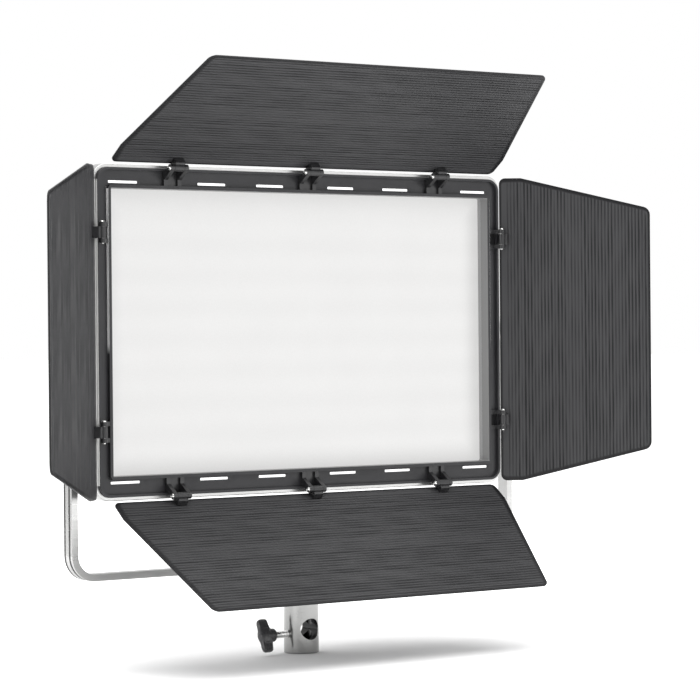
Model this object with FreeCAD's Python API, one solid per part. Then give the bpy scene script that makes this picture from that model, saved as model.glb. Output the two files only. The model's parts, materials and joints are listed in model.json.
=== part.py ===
"""LED panel light with four barn doors, on a U-shaped yoke with a stand receiver.

Millimetres. The origin is the centre of the receiver's open lower end. +Z is up, the light shines
towards -Y, and +X is on the right when the light is seen from the front.
Depths inside the head are counted from the front face of the barn-door frame, towards the back.
"""
import FreeCAD, Part
import math
import os

# ---------------------------------------------------------------- driving dimensions
PANEL_Z = 256.5            # height of the panel's centre and of the tilt axis
FRONT_Y = -15.0            # front face of the barn-door frame; the tilt axis is at Y = 0

FRAME_W, FRAME_H = 388.0, 250.0        # barn-door frame, outside
FRAME_RADIUS = 10.0
LIT_W, LIT_H = 364.0, 218.5            # opening in front of the diffuser
LIP = 2.5                              # wall round that opening
RIM = 2.0                              # wall round the outside of the barn-door frame
CHANNEL_DEPTH = 3.0
FRAME_FLOOR = 2.0
FRAME_DEPTH = 9.0
SLOT_LENGTH, SLOT_HEIGHT, SLOT_CORNER = 26.7, 2.0, 0.6
SLOT_GAP = 1.3                         # between the lip and the slots
SLOT_X = (34.3, 89.0, 169.4)

CASING_WALL = 2.8                      # aluminium casing frame
CASING_FRONT, CASING_SHOULDER, CASING_BACK = 2.6, 15.0, 26.0
CASING_TAPER = 8.0
FIT = 0.15                             # clearance between parts that slip into each other

DIFFUSER_FRONT, DIFFUSER_T = 13.0, 3.0
WELL_LEDGE, WELL_BACK = 12.0, 26.0
LED_FRONT, LED_T = 26.1, 1.6
LED_COLUMNS, LED_ROWS, LED_SIZE, LED_HEIGHT = 16, 9, 3.5, 0.7
SINK_BASE, FIN_DEPTH, FIN_T, FIN_PITCH = 2.0, 6.5, 1.2, 8.0
COVER_BACK, COVER_WALL = 54.0, 2.5

DOOR_T = 1.5
KNUCKLE_BORE, PIN_R, PIN_HEAD_R = 1.26, 1.2, 2.2
EAR_HOLE = 1.22
EAR_L, KNUCKLE_L, HINGE_GAP = 3.4, 8.6, 0.2
HINGE_PAD = 4.5            # flat start of a hinge rib, from the lip outwards
HINGE_WEB = 2.2            # depth of the web between the two ribs of a hinge
BLOCK_REACH = 5.0          # the knuckle's block reaches this far along the leaf past the axis
# Long doors (top and bottom) and side doors: leaf length, half width at the hinge and at the free
# edge, the axis's distance from the panel's centre and its depth, the distance from the axis to the
# leaf's inner face, the leaf's start along itself counted from the axis, the ear's radius, and where
# a rib's outer side lies from the axis: at the rim, and at its shoulder.
LONG = dict(length=125.65, half_hinge=184.3, half_free=159.1, half_virtual=188.8, axis_r=125.2,
            axis_y=-8.0, below=5.65, start=-2.15, ear=2.8, rim_y=5.4, shoulder=(1.5, 3.8))
SIDE = dict(length=125.65, half_hinge=126.2, half_free=100.0, half_virtual=130.6, axis_r=193.0,
            axis_y=-5.0, below=6.23, start=-1.66, ear=2.6, rim_y=3.8, shoulder=(1.3, 2.4))
HINGE_CORNER, KNEE_CORNER, FREE_CORNER = 5.0, 12.0, 7.0     # rounding of a leaf's outline
LONG_HINGES, SIDE_HINGES = (-126.7, 0.0, 126.7), (-75.2, 75.2)
# how far each door stands forward of the panel's own plane
TOP_ANGLE, BOTTOM_ANGLE, LEFT_ANGLE, RIGHT_ANGLE = 55.0, 52.8, 44.4, 37.7

YOKE_BAR_T, YOKE_DEPTH = 5.4, 12.0
YOKE_GROOVES, GROOVE_DEPTH = ((-3.6, -1.1), (3.4, 5.6)), 0.8     # along the outer face
YOKE_HALF_W = 213.5
YOKE_BOTTOM_Z = PANEL_Z - 188.1
YOKE_CORNER_R = 20.0
YOKE_TOP_Z = PANEL_Z + 9.0
BOSS_R, BOSS_IN, BOSS_OUT = 11.0, 189.0, 206.4
PIVOT_R = 3.0
BOLT_HEAD_R, BOLT_HEAD_H, LOCK_KNOB_L = 7.5, 4.5, 21.0

RECEIVER_R = 14.0
SOCKET_R, SOCKET_DEPTH = 8.25, 36.0
SCREW_SEAT = 42.5          # height of the shoulder under which the receiver's screw is tightened
SCREW_R, SCREW_HEAD_R, SCREW_HEAD_H, WASHER_T, NUT_H = 4.0, 6.5, 6.0, 1.4, 6.0
CROSS_R, CROSS_Z = 8.5, 19.5
THUMB_Z = 15.6
THUMB_R, THUMB_HUB, THUMB_HUB_R, WING_T = 3.0, -26.5, 5.6, 5.8
WING_LEAN = -22.0          # turn of the wing about the thumb screw at rest

KNOB_R, KNOB_L, KNOB_GROOVES, SHAFT_R = 9.0, 12.0, 24, 3.0
BUTTON_W, BUTTON_H, PLATE_T = 12.0, 7.0, 2.0
PANEL_X0, PANEL_X1, PANEL_Z0, PANEL_Z1 = 18.0, 142.0, -92.0, -38.0   # control panel, from the centre
BUTTON_NAMES = ("mode_button", "channel_button", "lock_button")


# ---------------------------------------------------------------- small helpers
def V(x, y, z):
    return FreeCAD.Vector(x, y, z)


def box(x0, x1, y0, y1, z0, z1):
    return Part.makeBox(x1 - x0, y1 - y0, z1 - z0, V(x0, y0, z0))


def hbox(x0, x1, d0, d1, z0, z1):
    """A box in the head: d is depth behind the front face, z is from the panel's centre."""
    return box(x0, x1, FRONT_Y + d0, FRONT_Y + d1, PANEL_Z + z0, PANEL_Z + z1)


def rod(start, axis, radius, length):
    return Part.makeCylinder(radius, length, start, axis)


def ring(start, axis, outer, inner, length):
    return rod(start, axis, outer, length).cut(rod(start, axis, inner, length))


def polygon(points):
    return Part.Wire(Part.makePolygon([V(*p) for p in points] + [V(*points[0])]).Edges)


def prism(points, along):
    return Part.Face(polygon(points)).extrude(V(*along))


def rounded_wire(half_w, half_h, radius, depth):
    """A rounded rectangle in the panel's plane, at a depth behind the front face."""
    y = FRONT_Y + depth
    edges = []
    corner = radius * math.sqrt(0.5)
    for a, b in ((1, 1), (-1, 1), (-1, -1), (1, -1)):
        cx, cz = a * (half_w - radius), b * (half_h - radius)
        on_side, on_top = V(cx + a * radius, y, PANEL_Z + cz), V(cx, y, PANEL_Z + cz + b * radius)
        first, last = (on_side, on_top) if a * b > 0 else (on_top, on_side)
        middle = V(cx + a * corner, y, PANEL_Z + cz + b * corner)
        if edges:
            edges.append(Part.LineSegment(edges[-1].EndPoint, first))
        edges.append(Part.Arc(first, middle, last))
    edges.append(Part.LineSegment(edges[-1].EndPoint, edges[0].StartPoint))
    return Part.Wire([e.toShape() for e in edges])


def plate(width, height, radius, d0, d1):
    """A rounded rectangular block of the head, from depth d0 to depth d1."""
    face = Part.Face(rounded_wire(width / 2, height / 2, radius, d0))
    return face.extrude(V(0, d1 - d0, 0))


def taper(w0, h0, r0, d0, w1, h1, r1, d1):
    wires = [rounded_wire(w0 / 2, h0 / 2, r0, d0), rounded_wire(w1 / 2, h1 / 2, r1, d1)]
    return Part.makeLoft(wires, True, True)


def fuse(shapes):
    whole = shapes[0]
    for shape in shapes[1:]:
        whole = whole.fuse(shape)
    return whole.removeSplitter()


def cut_all(shape, tools):
    for tool in tools:
        shape = shape.cut(tool)
    return shape


def hexagon(radius):
    return [(radius * math.cos(math.radians(60 * i)), radius * math.sin(math.radians(60 * i)))
            for i in range(6)]


def capsule(cx, cz, length, height, d0, d1):
    """A round-ended slot cutter, long along X."""
    r, half = height / 2, (length - height) / 2
    block = hbox(cx - half, cx + half, d0, d1, cz - r, cz + r)
    ends = [rod(V(cx + s * half, FRONT_Y + d0, PANEL_Z + cz), V(0, 1, 0), r, d1 - d0) for s in (-1, 1)]
    return fuse([block] + ends)


def along_y(block):
    """The edges of a block that run front to back."""
    return [e for e in block.Edges if e.BoundBox.YMax - e.BoundBox.YMin > 1]


NODES = {}


def add(name, *solids):
    """Keeps a node: one solid, or a group of identical ones that share it."""
    NODES[name] = solids[0] if len(solids) == 1 else Part.makeCompound(list(solids))


# ---------------------------------------------------------------- front: casing, frame and light
def body_frame():
    wall = CASING_WALL
    w, h, r = FRAME_W + 2 * wall, FRAME_H + 2 * wall, FRAME_RADIUS + wall
    outer = plate(w, h, r, CASING_FRONT, CASING_SHOULDER)
    outer = outer.makeFillet(0.8, [e for e in outer.Edges
                                   if e.BoundBox.YMax < FRONT_Y + CASING_FRONT + 0.01])
    back = taper(w, h, r, CASING_SHOULDER, w - 2 * CASING_TAPER, h - 2 * CASING_TAPER,
                 FRAME_RADIUS, CASING_BACK)
    outer = outer.fuse(back)
    w, h, r = FRAME_W + 2 * FIT, FRAME_H + 2 * FIT, FRAME_RADIUS + FIT
    inner = plate(w, h, r, CASING_FRONT - 1, CASING_SHOULDER)
    hollow = taper(w, h, r, CASING_SHOULDER, w - 2 * CASING_TAPER, h - 2 * CASING_TAPER,
                   FRAME_RADIUS - 3, CASING_BACK)
    shell = outer.cut(inner).cut(hollow)
    for side in (-1, 1):
        start = V(side * (FRAME_W / 2 - 10), 0, PANEL_Z)
        shell = shell.cut(rod(start, V(side, 0, 0), BOSS_R + FIT, 30))
    add("body_frame", shell)


def barn_door_frame():
    w, h = FRAME_W, FRAME_H
    frame = plate(w, h, FRAME_RADIUS, 0, FRAME_DEPTH)
    frame = frame.makeFillet(0.6, [e for e in frame.Edges if e.BoundBox.YMax < FRONT_Y + 0.01])
    frame = frame.cut(plate(LIT_W, LIT_H, 1.5, -1, FRAME_DEPTH + 1))
    channel = plate(w - 2 * RIM, h - 2 * RIM, FRAME_RADIUS - RIM, -1, CHANNEL_DEPTH)
    channel = channel.cut(plate(LIT_W + 2 * LIP, LIT_H + 2 * LIP, 3.5, -2, CHANNEL_DEPTH + 1))
    floor_back = CHANNEL_DEPTH + FRAME_FLOOR
    back = plate(w - 2 * RIM, h - 2 * RIM, FRAME_RADIUS - RIM, floor_back, FRAME_DEPTH + 1)
    back = back.cut(plate(LIT_W + 2 * LIP, LIT_H + 2 * LIP, 3.5, CHANNEL_DEPTH, FRAME_DEPTH + 2))
    frame = frame.cut(channel).cut(back)
    slot_z = LIT_H / 2 + LIP + SLOT_GAP + SLOT_HEIGHT / 2
    for x in SLOT_X:
        for cx in (-x, x):
            for cz in (-slot_z, slot_z):
                slot = hbox(cx - SLOT_LENGTH / 2, cx + SLOT_LENGTH / 2, -1, floor_back + 1,
                            cz - SLOT_HEIGHT / 2, cz + SLOT_HEIGHT / 2)
                frame = frame.cut(slot.makeFillet(SLOT_CORNER, along_y(slot)))
    for side in (-1, 1):
        start = V(side * (FRAME_W / 2 - 10), 0, PANEL_Z)
        frame = frame.cut(rod(start, V(side, 0, 0), BOSS_R + FIT, 30))
    add("barn_door_frame", frame)


def light_source():
    # The white well reaches out behind the slots of the barn-door frame.
    well = plate(LIT_W + 10, LIT_H + 20, 5, FRAME_DEPTH + 0.1, WELL_LEDGE)
    well = well.fuse(plate(LIT_W + 7, LIT_H + 7, 4, WELL_LEDGE - 1, WELL_BACK))
    well = well.cut(plate(LIT_W, LIT_H, 1.5, FRAME_DEPTH - 1, DIFFUSER_FRONT + 0.1))
    diffuser_back = DIFFUSER_FRONT + DIFFUSER_T
    well = well.cut(plate(LIT_W + 4, LIT_H + 4, 3, DIFFUSER_FRONT, diffuser_back + 0.2))
    well = well.cut(plate(LIT_W, LIT_H, 1.5, DIFFUSER_FRONT, WELL_BACK + 1))
    add("light_well", well)
    add("diffuser", plate(LIT_W + 3.4, LIT_H + 3.4, 2.5, DIFFUSER_FRONT + 0.1, diffuser_back))

    add("led_board", plate(LIT_W - 4, LIT_H + 3.5, 4, LED_FRONT + 0.1, LED_FRONT + LED_T))
    chips = {"led_chips_warm": [], "led_chips_cool": []}
    columns, rows, half = LED_COLUMNS, LED_ROWS, LED_SIZE / 2
    for row in range(rows):
        for column in range(columns):
            cx = (column - (columns - 1) / 2) * (LIT_W - 24) / (columns - 1)
            cz = (row - (rows - 1) / 2) * (LIT_H - 22) / (rows - 1)
            name = "led_chips_warm" if (row + column) % 2 else "led_chips_cool"
            chips[name].append(hbox(cx - half, cx + half, LED_FRONT - LED_HEIGHT, LED_FRONT + 0.1,
                                    cz - half, cz + half))
    for name, solids in chips.items():
        add(name, *solids)


def heat_sink():
    d0 = LED_FRONT + LED_T
    base = plate(330, 190, 3, d0, d0 + SINK_BASE)
    fins = []
    count = int(170 / FIN_PITCH)
    for i in range(count):
        z = (i - (count - 1) / 2) * FIN_PITCH
        fins.append(hbox(-160, 160, d0 + SINK_BASE - 0.2, d0 + SINK_BASE + FIN_DEPTH,
                         z - FIN_T / 2, z + FIN_T / 2))
    add("heat_sink", fuse([base] + fins))


# ---------------------------------------------------------------- rear shell and electronics
COVER_W0, COVER_H0, COVER_W1, COVER_H1 = 369.0, 231.0, 344.0, 204.0
ELECTRONICS = 42.0                             # depth of the boards behind the cover
BOARD_T, CAPACITOR_R = 1.6, 4.5
SWITCH_X, INLET_X, POWER_Z = -118.0, -76.0, -72.0
SWITCH_HOLE, INLET_HOLE = (21.2, 14.2), (22.2, 16.2)
ROCKER_PIN_R, INLET_PIN_R, INLET_PIN_X = 1.0, 1.2, 4.3
VENT_LENGTH, VENT_HEIGHT, VENT_PITCH_X, VENT_PITCH_Z = 14.0, 3.2, 22.0, 10.0
VENT_ROWS = (24.0, 66.0)                       # middle rows of the two blocks of vents
COVER_SCREW_R, COVER_HEAD_R, COVER_HEAD_H, COVER_SCREW_L = 1.5, 3.0, 1.8, 8.0
CROSS_ARM, CROSS_W, CROSS_DEPTH = 2.0, 0.7, 0.9        # cross recess in the screw heads


def rear_cover():
    d0, d1, wall = CASING_BACK + 0.1, COVER_BACK, COVER_WALL
    shell = taper(COVER_W0, COVER_H0, 9, d0, COVER_W1, COVER_H1, 12, d1)
    shell = shell.makeFillet(2.5, [e for e in shell.Edges if e.BoundBox.YMin > FRONT_Y + d1 - 0.01])
    hollow = taper(COVER_W0 - 2 * wall, COVER_H0 - 2 * wall, 7, d0 - 0.5,
                   COVER_W1 - 2 * wall, COVER_H1 - 2 * wall, 10, d1 - wall)
    shell = shell.cut(hollow)
    vents = []
    for i in range(12):
        for cz in VENT_ROWS:
            cx = (i - 5.5) * VENT_PITCH_X
            for z in (cz - VENT_PITCH_Z, cz, cz + VENT_PITCH_Z):
                vents.append(hbox(cx - VENT_LENGTH / 2, cx + VENT_LENGTH / 2, d1 - 5, d1 + 1,
                                  z - VENT_HEIGHT / 2, z + VENT_HEIGHT / 2))
    shell = cut_all(shell, vents)
    window = 3.0
    shell = shell.cut(hbox(PANEL_X0 + window, PANEL_X1 - window, d1 - 5, d1 + 1,
                           PANEL_Z0 + window, PANEL_Z1 - window))
    for x, (width, height) in ((SWITCH_X, SWITCH_HOLE), (INLET_X, INLET_HOLE)):
        shell = shell.cut(hbox(x - width / 2, x + width / 2, d1 - 5, d1 + 1,
                               POWER_Z - height / 2, POWER_Z + height / 2))
    screws = []
    for sx in (-1, 0, 1):
        for sz in (-1, 1):
            x, z = sx * (COVER_W1 / 2 - 14), PANEL_Z + sz * (COVER_H1 / 2 - 9)
            y = FRONT_Y + d1
            shell = shell.cut(rod(V(x, y - 6, z), V(0, 1, 0), COVER_SCREW_R + 0.2, 8))
            head = rod(V(x, y, z), V(0, 1, 0), COVER_HEAD_R, COVER_HEAD_H)
            rim = [e for e in head.Edges if e.BoundBox.YMin > y + COVER_HEAD_H - 0.01]
            head = head.makeFillet(0.7, rim)
            y0, y1 = y + COVER_HEAD_H - CROSS_DEPTH, y + COVER_HEAD_H + 1
            for a, b in ((CROSS_ARM, CROSS_W / 2), (CROSS_W / 2, CROSS_ARM)):
                head = head.cut(box(x - a, x + a, y0, y1, z - b, z + b))
            shank = rod(V(x, y - COVER_SCREW_L, z), V(0, 1, 0), COVER_SCREW_R, COVER_SCREW_L)
            screws.append(head.fuse(shank))
    add("rear_cover", shell)
    add("rear_cover_screws", *screws)


def electronics():
    d = ELECTRONICS
    board = hbox(-150, -70, d, d + BOARD_T, 18, 84)
    parts = [board]
    for x in (-140, -123, -106, -89):
        parts.append(rod(V(x, FRONT_Y + d + BOARD_T - 0.1, PANEL_Z + 70), V(0, 1, 0), CAPACITOR_R, 7))
    # A transformer and a coil stand below the capacitors.
    parts.append(hbox(-144, -124, d + BOARD_T - 0.1, d + 6, 26, 46))
    parts.append(hbox(-116, -90, d + BOARD_T - 0.1, d + 4, 26, 50))
    add("driver_board", fuse(parts))
    supply = hbox(-60, 60, d - 2, d + 8.5, 22, 82)
    slots = [hbox(x, x + 4, d + 7, d + 9, 32, 72) for x in range(-50, 50, 9)]
    add("power_supply", cut_all(supply, slots))


def controls():
    d = COVER_BACK
    x0, x1, z0, z1 = PANEL_X0, PANEL_X1, PANEL_Z0, PANEL_Z1
    face = hbox(x0, x1, d, d + PLATE_T, z0, z1)
    face = face.makeFillet(4, along_y(face))
    outer_rim = [e for e in face.Edges if e.BoundBox.YMin > FRONT_Y + d + PLATE_T - 0.01]
    face = face.makeFillet(0.7, outer_rim)
    wx0, wx1, wz0, wz1 = x0 + 8, x0 + 56, z1 - 34, z1 - 8          # display window
    face = face.cut(hbox(wx0, wx1, d - 1, d + PLATE_T + 1, wz0, wz1))
    dial_x = (x0 + 78, x0 + 106)
    dial_z = (z0 + z1) / 2
    for x in dial_x:
        face = face.cut(rod(V(x, FRONT_Y + d - 1, PANEL_Z + dial_z), V(0, 1, 0), SHAFT_R + 0.6, 4))
    button_x = [x0 + 14 + i * 18 for i in range(3)]
    button_z = z0 + 10.5
    half_w, half_h = BUTTON_W / 2, BUTTON_H / 2
    for x in button_x:
        face = face.cut(hbox(x - half_w - 0.3, x + half_w + 0.3, d - 1, d + PLATE_T + 1,
                             button_z - half_h - 0.3, button_z + half_h + 0.3))
    add("control_panel", face)
    add("display_window", hbox(wx0 + 0.1, wx1 - 0.1, d + 0.6, d + 1.7, wz0 + 0.1, wz1 - 0.1))
    add("display_module", hbox(wx0 + 1, wx1 - 1, d - 6, d + 0.5, wz0 + 1, wz1 - 1))
    board = hbox(x0 + 4, x1 - 4, d - 8 - BOARD_T, d - 8, z0 + 4, z1 - 4)
    pads = [hbox(x - 4, x + 4, d - 8.1, d - 4.6, button_z - 3, button_z + 3) for x in button_x]
    add("control_board", fuse([board] + pads))
    encoders, z = [], PANEL_Z + dial_z
    for x in dial_x:
        case = hbox(x - 6, x + 6, d - 8, d - 1.2, dial_z - 6, dial_z + 6)
        shaft = rod(V(x, FRONT_Y + d - 2, z), V(0, 1, 0), SHAFT_R, 9.5)
        encoders.append(case.fuse(shaft))
    add("dial_encoders", *encoders)
    y = FRONT_Y + d + PLATE_T + 0.4
    for name, x in zip(("brightness_knob", "colour_knob"), dial_x):
        knob = rod(V(x, y, z), V(0, 1, 0), KNOB_R, KNOB_L)
        knob = knob.makeFillet(1.2, [e for e in knob.Edges if e.BoundBox.YMin > y + KNOB_L - 0.01])
        grooves = []
        for i in range(KNOB_GROOVES):
            a = 2 * math.pi * i / KNOB_GROOVES
            centre = V(x + (KNOB_R + 0.25) * math.cos(a), y + 1.5, z + (KNOB_R + 0.25) * math.sin(a))
            grooves.append(rod(centre, V(0, 1, 0), 0.7, KNOB_L))
        bore = rod(V(x, y - 1, z), V(0, 1, 0), SHAFT_R + 0.06, 9.1)
        pointer = box(x - 0.5, x + 0.5, y + KNOB_L - 0.6, y + KNOB_L + 1, z + 2, z + KNOB_R)
        add(name, cut_all(knob, grooves + [bore, pointer]))
    cap_top = d + PLATE_T + 1.6
    for name, x in zip(BUTTON_NAMES, button_x):
        cap = hbox(x - half_w, x + half_w, d - 3.2, cap_top, button_z - half_h, button_z + half_h)
        rim = [e for e in cap.Edges if e.BoundBox.YMin > FRONT_Y + cap_top - 0.01]
        add(name, cap.makeFillet(0.8, rim))


def flanged_case(x, hole, flange, flange_t, depth):
    """A housing that snaps into a hole of the rear cover from behind."""
    half_w, half_h = hole[0] / 2 - 0.1, hole[1] / 2 - 0.1
    d, z = COVER_BACK, POWER_Z
    rim = hbox(x - flange[0] / 2, x + flange[0] / 2, d, d + flange_t, z - flange[1] / 2, z + flange[1] / 2)
    return rim.fuse(hbox(x - half_w, x + half_w, d - depth, d + 0.2, z - half_h, z + half_h))


def power_controls():
    d, z, x = COVER_BACK, POWER_Z, SWITCH_X
    housing = flanged_case(x, SWITCH_HOLE, (24.0, 17.0), 1.6, 9.0)
    housing = housing.cut(hbox(x - 8.5, x + 8.5, d - 7.5, d + 2, z - 5.5, z + 5.5))
    add("power_switch_housing", housing)
    # The rocker turns on a cross pin; its left half is pressed in and its right half stands out.
    y0, pivot_y = FRONT_Y + d, FRONT_Y + d - 2
    outline = [(-7.9, -3.0), (7.9, -3.0), (7.9, 3.3), (0.0, 1.6), (-7.9, 1.1)]
    rocker = prism([(x + px, y0 + py, PANEL_Z + z - 5.2) for px, py in outline], (0, 0, 10.4))
    foot = V(x, pivot_y, PANEL_Z + z - 6)
    rocker = rocker.common(rod(foot, V(0, 0, 1), 8.3, 12))
    add("power_rocker", rocker.cut(rod(foot, V(0, 0, 1), ROCKER_PIN_R + 0.05, 12)))
    add("rocker_pin", rod(V(x, pivot_y, PANEL_Z + z - 5.5), V(0, 0, 1), ROCKER_PIN_R, 11))
    # Two-pole mains inlet, open to the back.
    x = INLET_X
    mouth = capsule(x, z, 17.0, 9.4, d - 10, d + 3)
    add("power_inlet", flanged_case(x, INLET_HOLE, (26.0, 20.0), 2.0, 12.0).cut(mouth))
    pins = []
    for side in (-1, 1):
        pin = rod(V(x + side * INLET_PIN_X, FRONT_Y + d - 10, PANEL_Z + z), V(0, 1, 0), INLET_PIN_R, 8.5)
        tip = [e for e in pin.Edges if e.BoundBox.YMin > FRONT_Y + d - 1.51]
        pins.append(pin.makeFillet(0.6, tip))
    add("inlet_pins", *pins)


# ---------------------------------------------------------------- barn doors
def hinge_station(kind, lip_r, rim_r, at, head_sign):
    """One bracket, knuckle and pin of a hinge, made for a door whose outward side is +Z and whose
    hinge line runs along X at X = at. Returns (bracket, knuckle in the open position, pin)."""
    ay, ar, ear = kind["axis_y"], kind["axis_r"], kind["ear"]
    half = KNUCKLE_L / 2 + HINGE_GAP
    ribs = []
    for x0 in (at - half - EAR_L, at + half):
        outline = [(lip_r, CHANNEL_DEPTH), (lip_r, 0.3), (lip_r + HINGE_PAD, 0.3),
                   (ar - ear * 0.68, ay - ear * 0.72), (ar + 0.8, ay),
                   (ar + kind["shoulder"][0], ay + kind["shoulder"][1]),
                   (rim_r, ay + kind["rim_y"]), (rim_r, CHANNEL_DEPTH)]
        rib = prism([(x0, y, r) for r, y in outline], (EAR_L, 0, 0))
        ribs.append(rib.fuse(rod(V(x0, ay, ar), V(1, 0, 0), ear, EAR_L)))
    web = box(at - half - 0.5, at + half + 0.5, HINGE_WEB, CHANNEL_DEPTH, lip_r, rim_r)
    bracket = fuse(ribs + [web])
    bracket = bracket.cut(rod(V(at - 20, ay, ar), V(1, 0, 0), EAR_HOLE, 40))
    inner = ay + kind["below"]                 # the leaf's inner face when the door is in plane
    knuckle = rod(V(at - KNUCKLE_L / 2, ay, ar), V(1, 0, 0), ear, KNUCKLE_L)
    block = box(at - KNUCKLE_L / 2, at + KNUCKLE_L / 2, ay + 0.2, inner,
                ar + kind["start"] + 0.2, ar + BLOCK_REACH)
    block = block.makeFillet(1.5, [e for e in block.Edges if e.BoundBox.ZMin > ar + BLOCK_REACH - 0.1
                                   and e.BoundBox.YMax < inner - 0.5])
    knuckle = fuse([knuckle, block]).cut(rod(V(at - 20, ay, ar), V(1, 0, 0), KNUCKLE_BORE, 40))
    length = KNUCKLE_L + 2 * (HINGE_GAP + EAR_L)
    start = at - head_sign * length / 2
    pin = rod(V(start, ay, ar), V(head_sign, 0, 0), PIN_R, length + 0.8)
    dome = Part.makeSphere(PIN_HEAD_R, V(start + head_sign * 0.6, ay, ar))
    keep = min(start, start - head_sign * 4)
    dome = dome.common(box(keep, keep + 4, ay - 3, ay + 3, ar - 3, ar + 3))
    return bracket, knuckle, fuse([pin, dome])


def leaf(kind):
    """A door leaf lying in the panel's plane, with its outward side at +Z."""
    y0 = kind["axis_y"] + kind["below"]
    a, free, virtual, length = (kind[k] for k in ("half_hinge", "half_free", "half_virtual", "length"))
    z0 = kind["axis_r"] + kind["start"]
    knee = z0 + length * (virtual - a) / (virtual - free)
    z1 = z0 + length
    outline = [(-a, y0, z0), (a, y0, z0), (a, y0, knee), (free, y0, z1), (-free, y0, z1), (-a, y0, knee)]
    door = prism(outline, (0, DOOR_T, 0))
    upright = [e for e in door.Edges if abs(e.BoundBox.YMax - e.BoundBox.YMin - DOOR_T) < 0.01]
    free_corners = [e for e in upright if e.BoundBox.ZMin > z1 - 0.1]
    hinge_corners = [e for e in upright if e.BoundBox.ZMax < z0 + 0.1]
    knees = [e for e in upright if z0 + 0.1 < e.BoundBox.ZMin < z1 - 0.1]
    for radius, corners in ((FREE_CORNER, free_corners), (HINGE_CORNER, hinge_corners),
                            (KNEE_CORNER, knees)):
        door = door.makeFillet(radius, [e for e in door.Edges
                                        if any(same_line(e, corner) for corner in corners)])
    return door


def same_line(edge, other):
    apart = (edge.BoundBox.Center - other.BoundBox.Center).Length
    return apart < 0.01 and abs(edge.Length - other.Length) < 0.01


def barn_doors():
    # side name, kind, hinge places, turn of the model about Y, opening angle
    sides = (("top", LONG, LONG_HINGES, 0, TOP_ANGLE),
             ("right", SIDE, SIDE_HINGES, 90, RIGHT_ANGLE),
             ("bottom", LONG, LONG_HINGES, 180, BOTTOM_ANGLE),
             ("left", SIDE, SIDE_HINGES, 270, LEFT_ANGLE))
    for name, kind, places, turn, angle in sides:
        size, lit = (FRAME_H, LIT_H) if kind is LONG else (FRAME_W, LIT_W)
        lip_r, rim_r = lit / 2 + LIP + 0.1, size / 2 - RIM - 0.1
        head_sign = 1 if name in ("top", "right") else -1
        stations = [hinge_station(kind, lip_r, rim_r, at, head_sign) for at in places]
        brackets, knuckles, pins = zip(*stations)
        door = leaf(kind)
        axis_point = V(0, kind["axis_y"], kind["axis_r"])
        # A door swings forward by turning from outward (+Z) towards the front (-Y), about +X.
        moving = [s.rotated(axis_point, V(1, 0, 0), angle) for s in (door,) + tuple(knuckles)]

        def placed(shape):
            shape = shape.rotated(V(0, 0, 0), V(0, 1, 0), turn)
            return shape.translated(V(0, FRONT_Y, PANEL_Z))

        add(name + "_door", placed(moving[0]))
        add(name + "_knuckles", *[placed(s) for s in moving[1:]])
        add(name + "_brackets", *[placed(s) for s in brackets])
        add(name + "_pins", *[placed(s) for s in pins])


# ---------------------------------------------------------------- yoke, pivots and receiver
def yoke():
    half, bottom, top, r = YOKE_HALF_W, YOKE_BOTTOM_Z, YOKE_TOP_Z, YOKE_CORNER_R

    def u_outline(inset, top_z):
        """The U as a closed outline: straight arms, arcs at the lower corners."""
        x, z, rr = half - inset, bottom + inset, r - inset
        k = rr * (1 - math.sqrt(0.5))
        y = -YOKE_DEPTH / 2
        edges = [Part.LineSegment(V(-x, y, top_z), V(-x, y, z + rr)),
                 Part.Arc(V(-x, y, z + rr), V(-x + k, y, z + k), V(-x + rr, y, z)),
                 Part.LineSegment(V(-x + rr, y, z), V(x - rr, y, z)),
                 Part.Arc(V(x - rr, y, z), V(x - k, y, z + k), V(x, y, z + rr)),
                 Part.LineSegment(V(x, y, z + rr), V(x, y, top_z)),
                 Part.LineSegment(V(x, y, top_z), V(-x, y, top_z))]
        return Part.Face(Part.Wire([e.toShape() for e in edges]))

    bar = u_outline(0, top).extrude(V(0, YOKE_DEPTH, 0))
    bar = bar.cut(u_outline(YOKE_BAR_T, top + 1).extrude(V(0, YOKE_DEPTH, 0)))
    # Two shallow grooves run along the outer face of the bar.
    outer, inner = u_outline(-1, top + 1), u_outline(GROOVE_DEPTH, top + 1)
    for y0, y1 in YOKE_GROOVES:
        groove = outer.extrude(V(0, y1 - y0, 0)).cut(inner.extrude(V(0, y1 - y0, 0)))
        bar = bar.cut(groove.translated(V(0, y0 + YOKE_DEPTH / 2, 0)))
    for side in (-1, 1):
        bar = bar.cut(rod(V(side * (half - 10), 0, PANEL_Z), V(side, 0, 0), PIVOT_R + 0.05, 20))
    bar = bar.cut(rod(V(0, 0, bottom - 1), V(0, 0, 1), SCREW_R + 0.1, 10))
    add("yoke", bar)


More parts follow.
